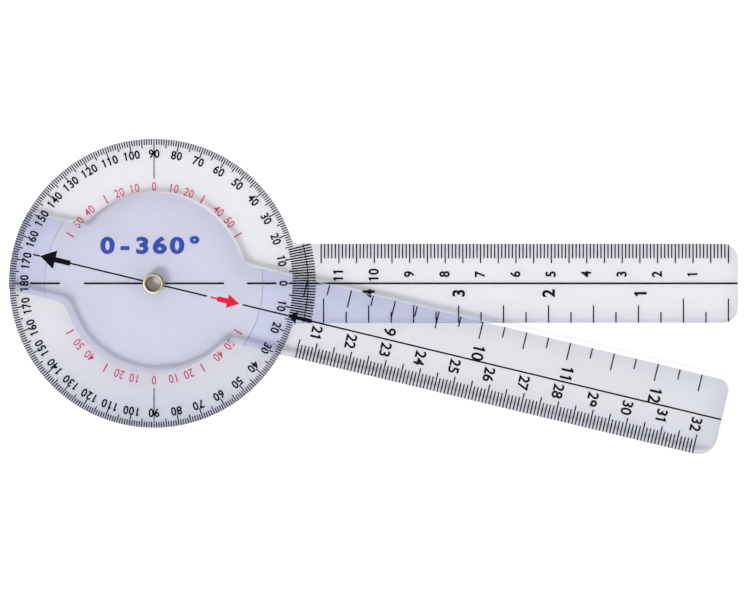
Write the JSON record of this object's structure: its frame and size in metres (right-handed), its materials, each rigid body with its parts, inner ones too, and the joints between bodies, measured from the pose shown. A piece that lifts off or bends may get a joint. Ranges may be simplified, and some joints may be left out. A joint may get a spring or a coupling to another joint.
{
  "type": "goniometer",
  "caption": "Clear plastic pocket goniometer: a full-circle protractor moulded with a ruled arm, and a ruled arm that turns on it about a hollow brass eyelet.",
  "frame": {"origin": "on the pivot axis, in the upper face of the protractor's rim, the face that the moving arm turns against", "axes": "+X along the fixed arm from the pivot to its tip, +Z out of the face that is read, +Y towards the centimetre edge of the fixed arm"},
  "size_m": [0.2056, 0.089, 0.0047],
  "materials": {
    "clear_plastic": "clear moulded acrylic, polished",
    "brass": "rolled and lightly polished",
    "washer_plastic": "natural nylon, punched from sheet",
    "black_ink": "screen-printed ink",
    "red_ink": "screen-printed ink"
  },
  "bodies": {
    "protractor": {"protractor_body": "clear_plastic", "eyelet": "brass", "friction_washer": "washer_plastic", "back_washer": "brass", "degree_marks": "black_ink", "reference_lines": "black_ink", "red_scale_marks": "red_ink", "fixed_centimetre_marks": "black_ink", "fixed_inch_marks": "black_ink"},
    "arm": {"moving_arm": "clear_plastic", "moving_centre_line": "black_ink", "tail_pointer": "black_ink", "arm_pointer": "black_ink", "red_pointer": "red_ink", "moving_centimetre_marks": "black_ink", "moving_inch_marks": "black_ink"}
  },
  "joints": [
    {"name": "arm_swing", "type": "hinge", "parent": "protractor", "child": "arm", "pos_m": [0, 0, 0], "axis": [0, 0, 1], "continuous": true}
  ]
}
